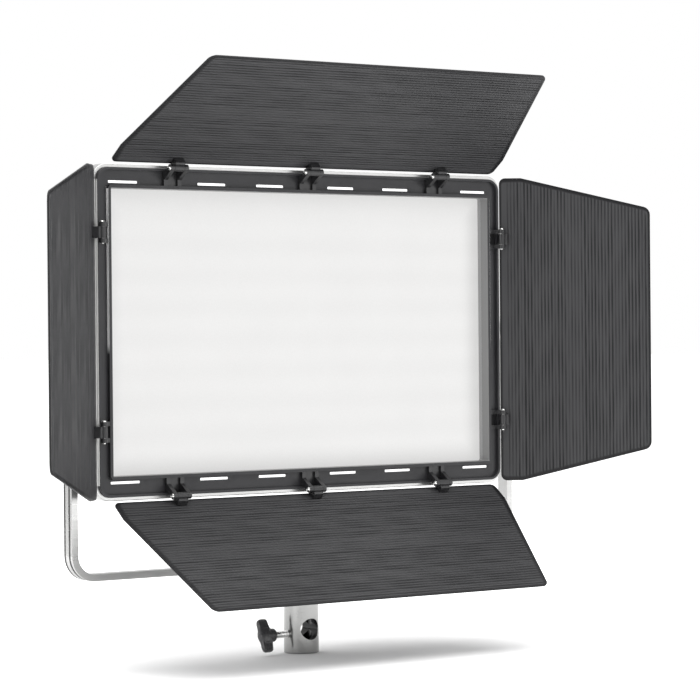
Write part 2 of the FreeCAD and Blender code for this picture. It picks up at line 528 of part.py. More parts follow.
def pivots():
    bosses, washers = [], []
    for side in (-1, 1):
        boss = rod(V(side * BOSS_IN, 0, PANEL_Z), V(side, 0, 0), BOSS_R, BOSS_OUT - BOSS_IN)
        tapped = rod(V(side * (BOSS_IN - 1), 0, PANEL_Z), V(side, 0, 0), PIVOT_R + 0.05, 30)
        bosses.append(boss.cut(tapped))
        seat = V(side * (BOSS_OUT + 0.1), 0, PANEL_Z)
        washers.append(ring(seat, V(side, 0, 0), 10.5, PIVOT_R + 0.3, 1.5))
    add("pivot_bosses", *bosses)
    add("friction_washers", *washers)
    x = YOKE_HALF_W
    # Left: a low round-headed bolt. Right: a stud with a lobed lock knob.
    head = rod(V(-x, 0, PANEL_Z), V(-1, 0, 0), BOLT_HEAD_R, BOLT_HEAD_H)
    head = head.makeFillet(2.0, [e for e in head.Edges if e.BoundBox.XMax < -x - BOLT_HEAD_H + 0.01])
    socket = [(-x - 2.4, y, PANEL_Z + z) for y, z in hexagon(2.9)]
    head = head.cut(prism(socket, (-4, 0, 0)))
    thread = x - BOSS_IN - 1
    add("pivot_bolt", head.fuse(rod(V(-x, 0, PANEL_Z), V(1, 0, 0), PIVOT_R, thread)))
    add("tilt_lock_stud", rod(V(BOSS_IN + 1, 0, PANEL_Z), V(1, 0, 0), PIVOT_R, thread + 18))
    knob = rod(V(x + 0.6, 0, PANEL_Z), V(1, 0, 0), 7.0, LOCK_KNOB_L)
    for i in range(6):
        a = math.radians(60 * i)
        lobe = V(x + 6, 7.2 * math.cos(a), PANEL_Z + 7.2 * math.sin(a))
        knob = knob.fuse(rod(lobe, V(1, 0, 0), 4.0, LOCK_KNOB_L - 5.4))
    knob = knob.removeSplitter()
    knob = knob.makeFillet(1.5, [e for e in knob.Edges if e.BoundBox.XMin > x + LOCK_KNOB_L + 0.5])
    add("tilt_lock_knob", knob.cut(rod(V(x, 0, PANEL_Z), V(1, 0, 0), PIVOT_R + 0.05, 18.05)))


def receiver():
    top = YOKE_BOTTOM_Z
    tube = rod(V(0, 0, 0), V(0, 0, 1), RECEIVER_R, top)
    tube = tube.makeChamfer(1.2, [e for e in tube.Edges if e.BoundBox.ZMin > top - 0.01])
    tube = tube.makeFillet(1.0, [e for e in tube.Edges if e.BoundBox.ZMax < 0.01])
    tube = tube.cut(rod(V(0, 0, -1), V(0, 0, 1), SOCKET_R, SOCKET_DEPTH + 1))
    tube = tube.cut(rod(V(0, -20, CROSS_Z), V(0, 1, 0), CROSS_R, 40))
    head_room = SCREW_SEAT - SOCKET_DEPTH + 1
    tube = tube.cut(rod(V(0, 0, SOCKET_DEPTH - 1), V(0, 0, 1), SCREW_HEAD_R + 0.5, head_room))
    tube = tube.cut(rod(V(0, 0, SCREW_SEAT - 1), V(0, 0, 1), SCREW_R + 0.1, top))
    tube = tube.cut(rod(V(-20, 0, THUMB_Z), V(1, 0, 0), THUMB_R + 0.05, 20))
    add("stand_receiver", tube)
    # One socket screw comes up through the receiver into a nut on top of the yoke bar.
    seat = SCREW_SEAT
    tip = top + YOKE_BAR_T + WASHER_T + NUT_H + 0.6
    shank = rod(V(0, 0, seat), V(0, 0, 1), SCREW_R, tip - seat)
    head = rod(V(0, 0, seat - SCREW_HEAD_H), V(0, 0, 1), SCREW_HEAD_R, SCREW_HEAD_H)
    socket = [(x, y, seat - SCREW_HEAD_H) for x, y in hexagon(3.5)]
    add("receiver_screw", head.fuse(shank).cut(prism(socket, (0, 0, 3.5))))
    bar_top = top + YOKE_BAR_T
    add("receiver_washer", ring(V(0, 0, bar_top), V(0, 0, 1), 8.5, SCREW_R + 0.2, WASHER_T))
    nut = prism([(x, y, bar_top + WASHER_T) for x, y in hexagon(7.2)], (0, 0, NUT_H))
    nut = nut.cut(rod(V(0, 0, bar_top), V(0, 0, 1), SCREW_R + 0.05, 10))
    add("receiver_nut", nut)


def thumb_screw():
    tip, hub = -SOCKET_R - 0.6, THUMB_HUB
    stud = rod(V(hub - 8, 0, THUMB_Z), V(1, 0, 0), THUMB_R, tip - hub + 8)
    add("thumb_stud", stud.makeChamfer(0.5, [e for e in stud.Edges if e.BoundBox.XMin > tip - 0.01]))
    body = rod(V(hub, 0, THUMB_Z), V(-1, 0, 0), THUMB_HUB_R, 6.0)
    body = body.makeFillet(1.0, [e for e in body.Edges if e.BoundBox.XMin > hub - 0.01])
    # Two wings, one each side of the hub, in one plane that holds the stud's axis.
    wings = [body]
    for side in (-1, 1):
        outline = [(hub - 2.0, 0), (hub - 3.5, 6.0), (hub - 4.5, 12.5), (hub - 12.5, 13.5),
                   (hub - 13.5, 6.0), (hub - 12.5, 0)]
        wing = prism([(x, -WING_T / 2, THUMB_Z + side * z) for x, z in outline], (0, WING_T, 0))
        tips = [e for e in along_y(wing) if abs(e.BoundBox.Center.z - THUMB_Z) > 10]
        wing = wing.makeFillet(2.2, tips)
        wings.append(wing)
    wing = fuse(wings)
    wing = wing.cut(rod(V(hub + 1, 0, THUMB_Z), V(-1, 0, 0), THUMB_R + 0.03, 9.05))
    add("thumb_wing", wing.rotated(V(0, 0, THUMB_Z), V(1, 0, 0), WING_LEAN))


def main():
    body_frame()
    barn_door_frame()
    light_source()
    heat_sink()
    rear_cover()
    electronics()
    controls()
    power_controls()
    barn_doors()
    yoke()
    pivots()
    receiver()
    thumb_screw()
    os.makedirs("parts", exist_ok=True)
    for name, shape in NODES.items():
        shape.exportStep("parts/" + name + ".step")
        print(name, "solids", len(shape.Solids), "valid", shape.isValid(), "mm3", round(shape.Volume, 1))


main()
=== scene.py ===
import bpy
import json
import math
import numpy as np
from mathutils import Matrix, Vector


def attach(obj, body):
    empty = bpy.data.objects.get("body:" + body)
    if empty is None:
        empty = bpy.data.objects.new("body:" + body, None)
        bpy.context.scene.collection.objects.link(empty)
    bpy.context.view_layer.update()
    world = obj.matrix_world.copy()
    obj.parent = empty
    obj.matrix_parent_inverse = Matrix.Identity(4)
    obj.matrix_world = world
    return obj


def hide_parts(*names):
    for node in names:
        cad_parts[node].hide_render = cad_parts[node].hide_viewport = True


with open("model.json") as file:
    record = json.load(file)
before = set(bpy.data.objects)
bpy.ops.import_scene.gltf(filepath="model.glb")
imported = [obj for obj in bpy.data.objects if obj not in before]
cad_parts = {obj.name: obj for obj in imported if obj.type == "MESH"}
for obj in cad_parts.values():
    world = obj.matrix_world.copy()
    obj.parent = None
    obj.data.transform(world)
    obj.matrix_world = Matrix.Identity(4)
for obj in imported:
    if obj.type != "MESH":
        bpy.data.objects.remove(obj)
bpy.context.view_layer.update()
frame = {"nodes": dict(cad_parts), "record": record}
NODES = frame["nodes"]
MM = 0.001

# ---------------------------------------------------------------- sizes shared with the CAD model, mm
PANEL_Z, FRONT_Y = 256.5, -15.0
YOKE_BOTTOM = 68.4
THUMB_Z, THUMB_HUB, THUMB_TIP, THUMB_R, WING_LEAN = 15.6, -26.5, -8.85, 3.0, -22.0
YOKE_HALF_W, YOKE_CORNER = 213.5, 20.0
YOKE_GROOVES = ((-2.35, 1.24), (4.5, 1.09))     # middle and half width of each groove's floor
DOOR_T = 1.5
# Doors: length from the hinge edge, half widths there, at the free edge and of the sides' straight
# lines carried back to the hinge edge, and the leaf's place seen from the hinge axis.
LONG = dict(length=125.65, half_hinge=184.3, half_free=159.1, half_virtual=188.8, axis_r=125.2,
            axis_y=-8.0, below=5.65, start=-2.15)
SIDE = dict(length=125.65, half_hinge=126.2, half_free=100.0, half_virtual=130.6, axis_r=193.0,
            axis_y=-5.0, below=6.23, start=-1.66)
# each door: its kind, its turn about Y from the top door's place, and its opening angle
DOORS = {"top": (LONG, 0, 55.0), "right": (SIDE, 90, 37.7), "bottom": (LONG, 180, 52.8),
         "left": (SIDE, 270, 44.4)}
LIT_W, LIT_H = 364.0, 218.5        # opening in front of the diffuser
LIP = 2.5                          # wall round that opening
CASING_CORNER = (193.5, 124.5)     # inner corner of the casing, from the panel's centre
RIM_SKIN = 193.96                  # just inside the frame's outer sides
RECEIVER_SKIN = 13.3               # just inside the receiver's outside

# ---------------------------------------------------------------- camera at the photograph's angle
VIEW_AZIMUTH, VIEW_PITCH, VIEW_ROLL = math.radians(36), math.radians(-0.30), math.radians(0.51)
FOCAL_PX, IMAGE_PX, SENSOR_MM = 2762.0, 700, 36.0
DISTANCE, SIDE_SHIFT, RISE = 2192.0, 32.06, -15.48


def camera():
    """Sets the camera and returns the level direction it looks in."""
    right = Vector((math.cos(VIEW_AZIMUTH), -math.sin(VIEW_AZIMUTH), 0))
    ahead = Vector((math.sin(VIEW_AZIMUTH), math.cos(VIEW_AZIMUTH), 0))
    up = Vector((0, 0, 1))
    sight = ahead * math.cos(VIEW_PITCH) + up * math.sin(VIEW_PITCH)
    rise = up * math.cos(VIEW_PITCH) - ahead * math.sin(VIEW_PITCH)
    place = right * SIDE_SHIFT + rise * RISE - sight * DISTANCE + Vector((0, FRONT_Y, PANEL_Z))
    x_axis = right * math.cos(VIEW_ROLL) - rise * math.sin(VIEW_ROLL)
    y_axis = right * math.sin(VIEW_ROLL) + rise * math.cos(VIEW_ROLL)
    rotation = Matrix((x_axis, y_axis, -sight)).transposed()
    data = bpy.data.cameras.new("camera")
    data.sensor_width = SENSOR_MM
    data.lens = FOCAL_PX / IMAGE_PX * SENSOR_MM
    data.clip_start, data.clip_end = 0.05, 100
    cam = bpy.data.objects.new("camera", data)
    cam.matrix_world = Matrix.Translation(place * MM) @ rotation.to_4x4()
    bpy.context.scene.collection.objects.link(cam)
    bpy.context.scene.camera = cam
    return ahead


# ---------------------------------------------------------------- materials
def set_range(node, *numbers):
    for key, number in zip(("From Min", "From Max", "To Min", "To Max"), numbers):
        node.inputs[key].default_value = number


class Finish:
    """A node material: a Principled shader, object coordinates, and short calls for its textures."""

    def __init__(self, name, **constants):
        self.material = bpy.data.materials.new(name)
        self.material.use_nodes = True
        self.tree = self.material.node_tree
        self.tree.nodes.clear()
        self.shader = self.add("ShaderNodeBsdfPrincipled")
        self.out = self.add("ShaderNodeOutputMaterial")
        self.join(self.shader.outputs[0], self.out.inputs["Surface"])
        self.place = self.add("ShaderNodeTexCoord").outputs["Object"]
        for key, value in constants.items():
            self.shader.inputs[key.replace("_", " ")].default_value = value

    def add(self, kind, **settings):
        node = self.tree.nodes.new(kind)
        for key, value in settings.items():
            setattr(node, key, value)
        return node

    def join(self, a, b):
        self.tree.links.new(a, b)

    def stretched(self, scale):
        node = self.add("ShaderNodeMapping")
        node.inputs["Scale"].default_value = scale
        self.join(self.place, node.inputs["Vector"])
        return node.outputs[0]

    def noise(self, scale, detail=3.0, rough=0.5):
        """Noise whose grains are 1/scale metres long; a triple gives a different length on each axis."""
        node = self.add("ShaderNodeTexNoise")
        node.inputs["Detail"].default_value = detail
        node.inputs["Roughness"].default_value = rough
        if isinstance(scale, tuple):
            node.inputs["Scale"].default_value = 1.0
            self.join(self.stretched(scale), node.inputs["Vector"])
        else:
            node.inputs["Scale"].default_value = scale
            self.join(self.place, node.inputs["Vector"])
        return node.outputs["Fac"]

    def levels(self, value, low, high, out_low, out_high, smooth=False):
        node = self.add("ShaderNodeMapRange", interpolation_type="SMOOTHSTEP" if smooth else "LINEAR")
        set_range(node, low, high, out_low, out_high)
        self.join(value, node.inputs["Value"])
        return node.outputs["Result"]

    def even(self, noise, low, high):
        """Noise's usual span, 0.3 to 0.7, stretched to run from low to high."""
        return self.levels(noise, 0.3, 0.7, low, high)

    def maths(self, operation, *values):
        node = self.add("ShaderNodeMath", operation=operation)
        for socket, value in zip(node.inputs, values):
            if isinstance(value, (int, float)):
                socket.default_value = value
            else:
                self.join(value, socket)
        return node.outputs[0]

    def apart(self, a, b):
        """The distance between two numbers."""
        return self.maths("ABSOLUTE", self.maths("SUBTRACT", a, b))

    def hypot(self, a, b):
        return self.maths("SQRT", self.maths("ADD", self.maths("POWER", a, 2.0), self.maths("POWER", b, 2.0)))

    def split(self):
        node = self.add("ShaderNodeSeparateXYZ")
        self.join(self.place, node.inputs[0])
        return node.outputs

    def blend(self, value, first, second):
        node = self.add("ShaderNodeMix", data_type="RGBA")
        self.join(value, node.inputs["Factor"])
        for key, colour in (("A", first), ("B", second)):
            socket = [s for s in node.inputs if s.name == key and s.type == "RGBA"][0]
            if isinstance(colour, tuple):
                socket.default_value = (*colour, 1.0)
            else:
                self.join(colour, socket)
        return [s for s in node.outputs if s.type == "RGBA"][0]

    def mottle(self, scale, detail, first, second):
        """Two colours, mixed by noise."""
        return self.blend(self.even(self.noise(scale, detail), 0, 1), first, second)

    def specks(self, noise, amount, ground, colour):
        """The noise's peaks, in another colour."""
        return self.blend(self.levels(noise, 0.55, 0.75, 0, amount), ground, colour)

    def colour(self, socket):
        self.join(socket, self.shader.inputs["Base Color"])
        return self

    def base(self):
        """What now drives the colour."""
        return self.shader.inputs["Base Color"].links[0].from_socket

    def rough(self, socket):
        self.join(socket, self.shader.inputs["Roughness"])
        return self

    def bump(self, height, depth):
        """Raises the surface by height (0 to 1) times depth, in metres."""
        node = self.add("ShaderNodeBump")
        node.inputs["Strength"].default_value = 1.0
        node.inputs["Distance"].default_value = depth
        self.join(height, node.inputs["Height"])
        self.join(node.outputs[0], self.shader.inputs["Normal"])
        return self


def scaled(colour, factor):
    return tuple(min(1.0, c * factor) for c in colour)


def moulded(name, colour, roughness, grain=1400.0, depth=0.00003, spread=0.12):
    """Plastic or powder coat: a fine grain, slow colour drift, roughness that varies, rubbed patches."""
    f = Finish(name)
    mixed = f.mottle(28.0, 4.0, scaled(colour, 1 - spread), scaled(colour, 1 + spread))
    speck = f.noise(grain, 3.0, 0.6)
    f.colour(f.specks(speck, 0.35, mixed, scaled(colour, 1.7)))
    f.rough(f.even(f.noise(160.0, 5.0), roughness - 0.06, roughness + 0.07))
    return f.bump(speck, depth)


def brushed(name, colour, roughness):
    """Satin metal with fine lines along X."""
    f = Finish(name, Metallic=1.0)
    lines = f.noise((22.0, 2600.0, 2600.0), 2.0, 0.6)
    bands = f.noise((6.0, 420.0, 420.0), 3.0, 0.6)
    cloud = f.noise(14.0, 5.0)
    mixed = f.blend(f.even(lines, 0, 1), scaled(colour, 0.93), scaled(colour, 1.05))
    f.colour(f.blend(f.levels(cloud, 0.35, 0.75, 0, 0.35), mixed, scaled(colour, 0.86)))
    f.rough(f.maths("ADD", f.even(bands, roughness - 0.05, roughness + 0.05), f.even(cloud, -0.03, 0.05)))
    return f.bump(lines, 0.000012)


def turned(name, colour, roughness):
    """Lathe-turned metal: fine rings and roughness that varies."""
    f = Finish(name, Metallic=1.0)
    rings = f.noise((60.0, 60.0, 3200.0), 2.0, 0.6)
    cloud = f.noise(60.0, 4.0)
    mixed = f.blend(f.even(rings, 0, 1), scaled(colour, 0.92), scaled(colour, 1.06))
    f.colour(f.blend(f.levels(cloud, 0.4, 0.8, 0, 0.4), mixed, scaled(colour, 0.85)))
    f.rough(f.maths("ADD", f.even(rings, roughness - 0.04, roughness + 0.05), f.even(cloud, -0.03, 0.04)))
    return f.bump(rings, 0.000004)


def spangled(name, colour, roughness):
    """Galvanised sheet: flat crystals of slightly different greys."""
    f = Finish(name, Metallic=1.0)
    cells = f.add("ShaderNodeTexVoronoi")
    cells.inputs["Scale"].default_value = 180.0
    f.join(f.place, cells.inputs["Vector"])
    grey = f.add("ShaderNodeRGBToBW")
    f.join(cells.outputs["Color"], grey.inputs[0])
    f.colour(f.blend(grey.outputs[0], scaled(colour, 0.82), scaled(colour, 1.1)))
    f.rough(f.levels(grey.outputs[0], 0, 1, roughness - 0.08, roughness + 0.08))
    return f.bump(f.noise(700.0, 3.0), 0.00001)


def casing_silver():
    """Brushed along each extrusion, so the lines turn at the casing's corners."""
    silver = (0.50, 0.50, 0.495)
    f = Finish("silver_casing", Metallic=1.0)
    x, _, z = f.split()
    corner_x, corner_z = CASING_CORNER
    on_side = f.maths("GREATER_THAN", f.maths("SUBTRACT", f.maths("ABSOLUTE", x), corner_x * MM),
                      f.maths("SUBTRACT", f.apart(z, PANEL_Z * MM), corner_z * MM))
    along_x, along_z = f.noise((14.0, 2400.0, 2400.0), 2.0), f.noise((2400.0, 2400.0, 14.0), 2.0)
    lines = f.maths("ADD", f.maths("MULTIPLY", on_side, along_z),
                    f.maths("MULTIPLY", f.maths("SUBTRACT", 1.0, on_side), along_x))
    f.colour(f.blend(f.even(lines, 0, 1), scaled(silver, 0.94), scaled(silver, 1.05)))
    f.rough(f.maths("ADD", f.even(lines, 0.30, 0.38), f.even(f.noise(11.0, 4.0), -0.03, 0.05)))
    return f.bump(lines, 0.00001)


def in_opening(f, away_x, away_z):
    """1 on the walls of the frame's opening, 0 elsewhere; 0.06 mm takes in the wall's own skin."""
    return f.maths("MULTIPLY", f.maths("LESS_THAN", away_x, (LIT_W / 2 + 0.06) * MM),
                   f.maths("LESS_THAN", away_z, (LIT_H / 2 + 0.06) * MM))


def frame_dark():
    """Dark coat; walls in the opening painted lighter as painted light from the diffuser, bare metal on the
    outer sides, a painted reflection as a pale strip at the lip.
    """
    f = Finish("dark_frame")
    x, _, z = f.split()
    away_x, away_z = f.maths("ABSOLUTE", x), f.apart(z, PANEL_Z * MM)
    speck = f.noise(1700.0, 3.0, 0.6)
    coat = f.mottle(28.0, 4.0, (0.020, 0.020, 0.022), (0.027, 0.027, 0.029))
    coat = f.specks(speck, 0.35, coat, (0.045, 0.045, 0.048))
    # Painted reflection: a pale strip on the sides of the lip, over the upper half of its height.
    beside_lip = f.maths("LESS_THAN", f.apart(away_x, (LIT_W / 2 + LIP) * MM), 0.04 * MM)
    painted_lip_reflection = f.maths("MULTIPLY", f.levels(z, 0.240, 0.248, 0.0, 1.0), beside_lip)
    painted_lip_reflection = f.maths("MULTIPLY", painted_lip_reflection, f.maths("LESS_THAN", away_z, (LIT_H / 2 + 1.5) * MM))
    bare = f.maths("GREATER_THAN", away_x, RIM_SKIN * MM)
    # Painted light: the walls of the opening are painted mid-grey to stand in for the diffuser's light on
    # them.
    coat = f.blend(in_opening(f, away_x, away_z), coat, (0.21, 0.21, 0.21))
    # Painted reflection: the lip's sides are painted near white there.
    coat = f.blend(painted_lip_reflection, coat, (0.92, 0.92, 0.92))
    f.colour(f.blend(bare, coat, (0.98, 0.98, 0.97)))
    f.join(bare, f.shader.inputs["Metallic"])
    f.rough(f.blend(bare, f.even(f.noise(160.0, 5.0), 0.36, 0.48), (0.12, 0.12, 0.12)))
    f.shader.inputs["Specular IOR Level"].default_value = 0.32
    return f.bump(speck, 0.00001)


def leaf_coat():
    """Satin black coat, paler in patches, dark along the leaf's rim, with painted shade in its valleys."""
    f = Finish("door_leaf")
    valley = f.add("ShaderNodeAttribute", attribute_name="valley").outputs["Fac"]
    rim = f.add("ShaderNodeAttribute", attribute_name="rim").outputs["Fac"]
    speck = f.noise(2100.0, 3.0, 0.6)
    coat = f.mottle((9.0, 60.0, 60.0), 3.0, (0.035, 0.035, 0.037), (0.044, 0.044, 0.046))
    # Painted shade: the ridges' valleys are painted near black.
    coat = f.blend(f.levels(valley, 0.05, 0.78, 0, 0.98, True), coat, (0.004, 0.004, 0.005))
    coat = f.specks(speck, 0.25, coat, (0.05, 0.05, 0.052))
    f.colour(f.blend(f.levels(rim, 0.05, 0.4, 0, 0.95), coat, (0.004, 0.004, 0.005)))
    f.shader.inputs["Specular IOR Level"].default_value = 0.25
    f.rough(f.maths("ADD", f.even(f.noise(130.0, 5.0), 0.33, 0.43), f.levels(valley, 0, 1, 0, 0.15)))
    return f.bump(speck, 0.00002)


def yoke_silver():
    """Brushed bar; painted shade on the floors of the two grooves in its outer face."""
    f = brushed("yoke_silver", (0.49, 0.49, 0.485), 0.30)
    x, y, z = f.split()
    # Distance outwards from the line on which the corners of the U are centred.
    side = f.maths("SUBTRACT", f.maths("ABSOLUTE", x), (YOKE_HALF_W - YOKE_CORNER) * MM)
    drop = f.maths("SUBTRACT", (YOKE_BOTTOM + YOKE_CORNER) * MM, z)
    round_corner = f.hypot(f.maths("MAXIMUM", side, 0.0), f.maths("MAXIMUM", drop, 0.0))
    out = f.maths("MAXIMUM", f.maths("MAXIMUM", side, drop), round_corner)
    front, back = (f.maths("LESS_THAN", f.apart(y, middle * MM), half * MM) for middle, half in YOKE_GROOVES)
    near_face = f.maths("GREATER_THAN", out, (YOKE_CORNER - 1.1) * MM)
    groove_shade = f.maths("MULTIPLY", near_face, f.maths("ADD", front, back))
    # Painted shade: the groove floors are painted dark grey.
    return f.colour(f.blend(groove_shade, f.base(), (0.16, 0.16, 0.16)))


def receiver_silver():
    """Turned outside; painted shade inside the socket and the cross hole."""
    f = turned("receiver_silver", (0.33, 0.33, 0.325), 0.20)
    x, y, _ = f.split()
    inside = f.maths("LESS_THAN", f.hypot(x, y), RECEIVER_SKIN * MM)
    # Painted shade: everything inside the skin radius is painted near black.
    return f.colour(f.blend(inside, f.base(), (0.035, 0.035, 0.035)))


def led_chip(slot, colour):
    f = Finish(slot, Roughness=0.25, IOR=1.5)
    f.colour(f.blend(f.levels(f.noise(2200.0, 2.0), 0.35, 0.65, 0, 1), scaled(colour, 0.82), colour))
    return f.bump(f.noise(1800.0, 2.0), 0.00002)


def opal_sheet():
    """Opal diffuser, lit from behind: dimmer towards its edges, with faint level bands."""
    strongest, edge_level, edge_reach = 0.66, 0.86, 0.020
    band_pitch, band_level = 0.0245, 0.012
    f = Finish("opal_diffuser", Roughness=0.45)
    x, _, z = f.split()
    z = f.maths("SUBTRACT", z, PANEL_Z * MM)
    edge = f.maths("MINIMUM", f.maths("SUBTRACT", LIT_W * MM / 2, f.maths("ABSOLUTE", x)),
                   f.maths("SUBTRACT", LIT_H * MM / 2, f.maths("ABSOLUTE", z)))
    glow = f.levels(edge, 0.0, edge_reach, edge_level, 1.0, True)
    wave = f.maths("SINE", f.maths("MULTIPLY", z, 2 * math.pi / band_pitch))
    bands = f.maths("MULTIPLY", wave, band_level)
    uneven = f.maths("ADD", f.maths("ADD", bands, f.even(f.noise(16.0, 2.0), -0.012, 0.012)), 1.0)
    strength = f.maths("MULTIPLY", f.maths("MULTIPLY", glow, strongest), uneven)
    f.join(strength, f.shader.inputs["Emission Strength"])
    f.shader.inputs["Emission Color"].default_value = (1.0, 0.995, 0.985, 1)
    f.colour(f.mottle(900.0, 2.0, (0.10, 0.10, 0.10), (0.12, 0.12, 0.12)))
    return f.bump(f.noise(1500.0, 2.0), 0.00001)


def well_white():
    """White well: painted glow on its flange behind the slots, above and below the opening; painted shade on
    its walls in the opening.
    """
    flange_from, flange_full, strength = 0.1100, 0.1115, 1.3
    f = Finish("white_well", Roughness=0.5)
    x, _, z = f.split()
    away_x, away_z = f.maths("ABSOLUTE", x), f.apart(z, PANEL_Z * MM)
    # Painted glow: the flange emits light to stand in for the LEDs' light reaching it.
    f.join(f.levels(away_z, flange_from, flange_full, 0.0, strength), f.shader.inputs["Emission Strength"])
    f.shader.inputs["Emission Color"].default_value = (1.0, 1.0, 1.0, 1)
    white = f.mottle(600.0, 2.0, (0.74, 0.74, 0.73), (0.80, 0.80, 0.79))
    # Painted shade: the well's walls in the opening are painted mid-grey instead of white.
    f.colour(f.blend(in_opening(f, away_x, away_z), white, (0.28, 0.28, 0.28)))
    return f.bump(f.noise(1300.0, 2.0), 0.00002)


def display_glass():
    f = Finish("display_glass", Roughness=0.05, IOR=1.5)
    f.colour(f.mottle(60.0, 3.0, (0.010, 0.016, 0.022), (0.016, 0.024, 0.032)))
    return f.rough(f.levels(f.noise(90.0, 5.0), 0.4, 0.8, 0.04, 0.12))


def build_finishes():
    made = {"silver_casing": casing_silver(), "dark_frame": frame_dark(), "door_leaf": leaf_coat(),
            "yoke_silver": yoke_silver(), "receiver_silver": receiver_silver(),
            "opal_diffuser": opal_sheet(), "white_well": well_white(), "display_glass": display_glass(),
            "led_warm": led_chip("led_warm", (0.86, 0.55, 0.13)),
            "led_cool": led_chip("led_cool", (0.84, 0.74, 0.24)),
            "heat_sink": brushed("heat_sink", (0.60, 0.61, 0.62), 0.40),
            "steel_case": spangled("steel_case", (0.58, 0.59, 0.60), 0.38)}
    # name: colour, roughness, grain, depth of the grain, spread of the colour
    plastics = {
        "rear_shell": ((0.030, 0.030, 0.033), 0.52, 900.0, 0.00006),
        "hinge_black": ((0.014, 0.014, 0.015), 0.34, 1500.0, 0.00003),
        "wing_black": ((0.055, 0.055, 0.057), 0.26, 1300.0, 0.00004),
        "knob_plastic": ((0.020, 0.020, 0.022), 0.45, 1600.0, 0.00003),
        "button_plastic": ((0.12, 0.12, 0.13), 0.50, 1500.0, 0.00003),
        "rocker_plastic": ((0.016, 0.016, 0.017), 0.22, 700.0, 0.00001),
        "inlet_plastic": ((0.016, 0.016, 0.017), 0.45, 1200.0, 0.00004),
        "panel_plate": ((0.014, 0.014, 0.016), 0.30, 2600.0, 0.00001),
        "display_module": ((0.010, 0.020, 0.026), 0.25, 900.0, 0.000008),
        "nylon": ((0.72, 0.71, 0.67), 0.45, 1100.0, 0.00003, 0.05),
        "led_board": ((0.80, 0.80, 0.78), 0.38, 1500.0, 0.00001, 0.04),
        "circuit_board": ((0.020, 0.115, 0.045), 0.30, 500.0, 0.00003, 0.25)}
    metals = {
        "plated_pin": ((0.74, 0.71, 0.66), 0.20), "black_screw": ((0.09, 0.09, 0.095), 0.34),
        "hinge_pin": ((0.66, 0.66, 0.65), 0.18), "bright_stud": ((0.86, 0.86, 0.85), 0.14)}
    for name, numbers in plastics.items():
        made[name] = moulded(name, *numbers)
    for name, numbers in metals.items():
        made[name] = turned(name, *numbers)
    return {slot: finish.material for slot, finish in made.items()}


def wear(obj, material):
    obj.data.materials.clear()
    obj.data.materials.append(material)


# ---------------------------------------------------------------- mesh helpers
def new_piece(name, vertices, faces, body, material, nodes=(), matrix=None, smooth=True):
    mesh = bpy.data.meshes.new(name)
    mesh.from_pydata([tuple(v) for v in vertices], [], [tuple(f) for f in faces])
    mesh.validate()
    mesh.update()
    obj = bpy.data.objects.new(name, mesh)
    bpy.context.scene.collection.objects.link(obj)
    if matrix is not None:
        obj.matrix_world = matrix
    mesh.shade_smooth() if smooth else mesh.shade_flat()
    wear(obj, material)
    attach(obj, body)
    if nodes:
        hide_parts(*nodes)
    return obj


def grid_faces(rows, columns, start=0, flip=False, wrap=False):
    """Quads over rows x columns vertices, row by row."""
    faces = []
    last = columns if wrap else columns - 1
    for i in range(rows - 1):
        for j in range(last):
            k = (j + 1) % columns
            quad = [start + i * columns + j, start + i * columns + k,
                    start + (i + 1) * columns + k, start + (i + 1) * columns + j]
            faces.append(quad[::-1] if flip else quad)
    return faces


# ---------------------------------------------------------------- barn door leaves
RIDGE_PITCH, RIDGE_DEPTH = 2.8, 0.62
RIDGE_STEPS, ACROSS = 6, 75            # mesh rows to a ridge, and columns over the leaf's width
WAVE, WAVE_LENGTH, WAVE_SHIFT = 0.02, 61, 9        # the ridges wave slightly along their length
SWELL_LENGTH = 47                      # each ridge is deeper and shallower along its length
EDGE_ROUND = 0.5
BORDER = 1.0                           # edge strip whose columns follow the outline
PLAIN_RIM, RIM_FADE = 2.4, 1.2         # no ridges along the rim and beside the hinge
PLAIN_HINGE, HINGE_FADE = 5.0, 1.5
FREE_R, HINGE_R = 7.0, 5.0


def leaf_outline(kind):
    """Two functions: the half width at a distance from the hinge edge, and the distance of a point
    from the leaf's nearest edge."""
    length, a, free, virtual = (kind[k] for k in ("length", "half_hinge", "half_free", "half_virtual"))
    slope = (virtual - free) / length
    lean = math.atan(slope)
    centre_x = free + FREE_R * slope - FREE_R / math.cos(lean)
    centre_s = length - FREE_R

    def straight(s):
        return np.minimum(a, virtual - slope * s)

    def half(s):
        width = straight(s)
        near = s > centre_s + FREE_R * math.sin(lean)
        arc = centre_x + np.sqrt(np.maximum(FREE_R ** 2 - (s - centre_s) ** 2, 0))
        width = np.where(near, arc, width)
        heel = s < HINGE_R
        arc = a - HINGE_R + np.sqrt(np.maximum(HINGE_R ** 2 - (HINGE_R - s) ** 2, 0))
        return np.where(heel, np.minimum(arc, width), width)

    def from_edge(x, s):
        away = np.minimum(np.minimum(s, length - s), (straight(s) - np.abs(x)) * math.cos(lean))
        free_corner = (s > centre_s) & (np.abs(x) > centre_x)
        away = np.where(free_corner, FREE_R - np.hypot(np.abs(x) - centre_x, s - centre_s), away)
        heel = (s < HINGE_R) & (np.abs(x) > a - HINGE_R)
        away = np.where(heel, HINGE_R - np.hypot(np.abs(x) - a + HINGE_R, HINGE_R - s), away)
        return np.maximum(away, 0)

    return half, from_edge


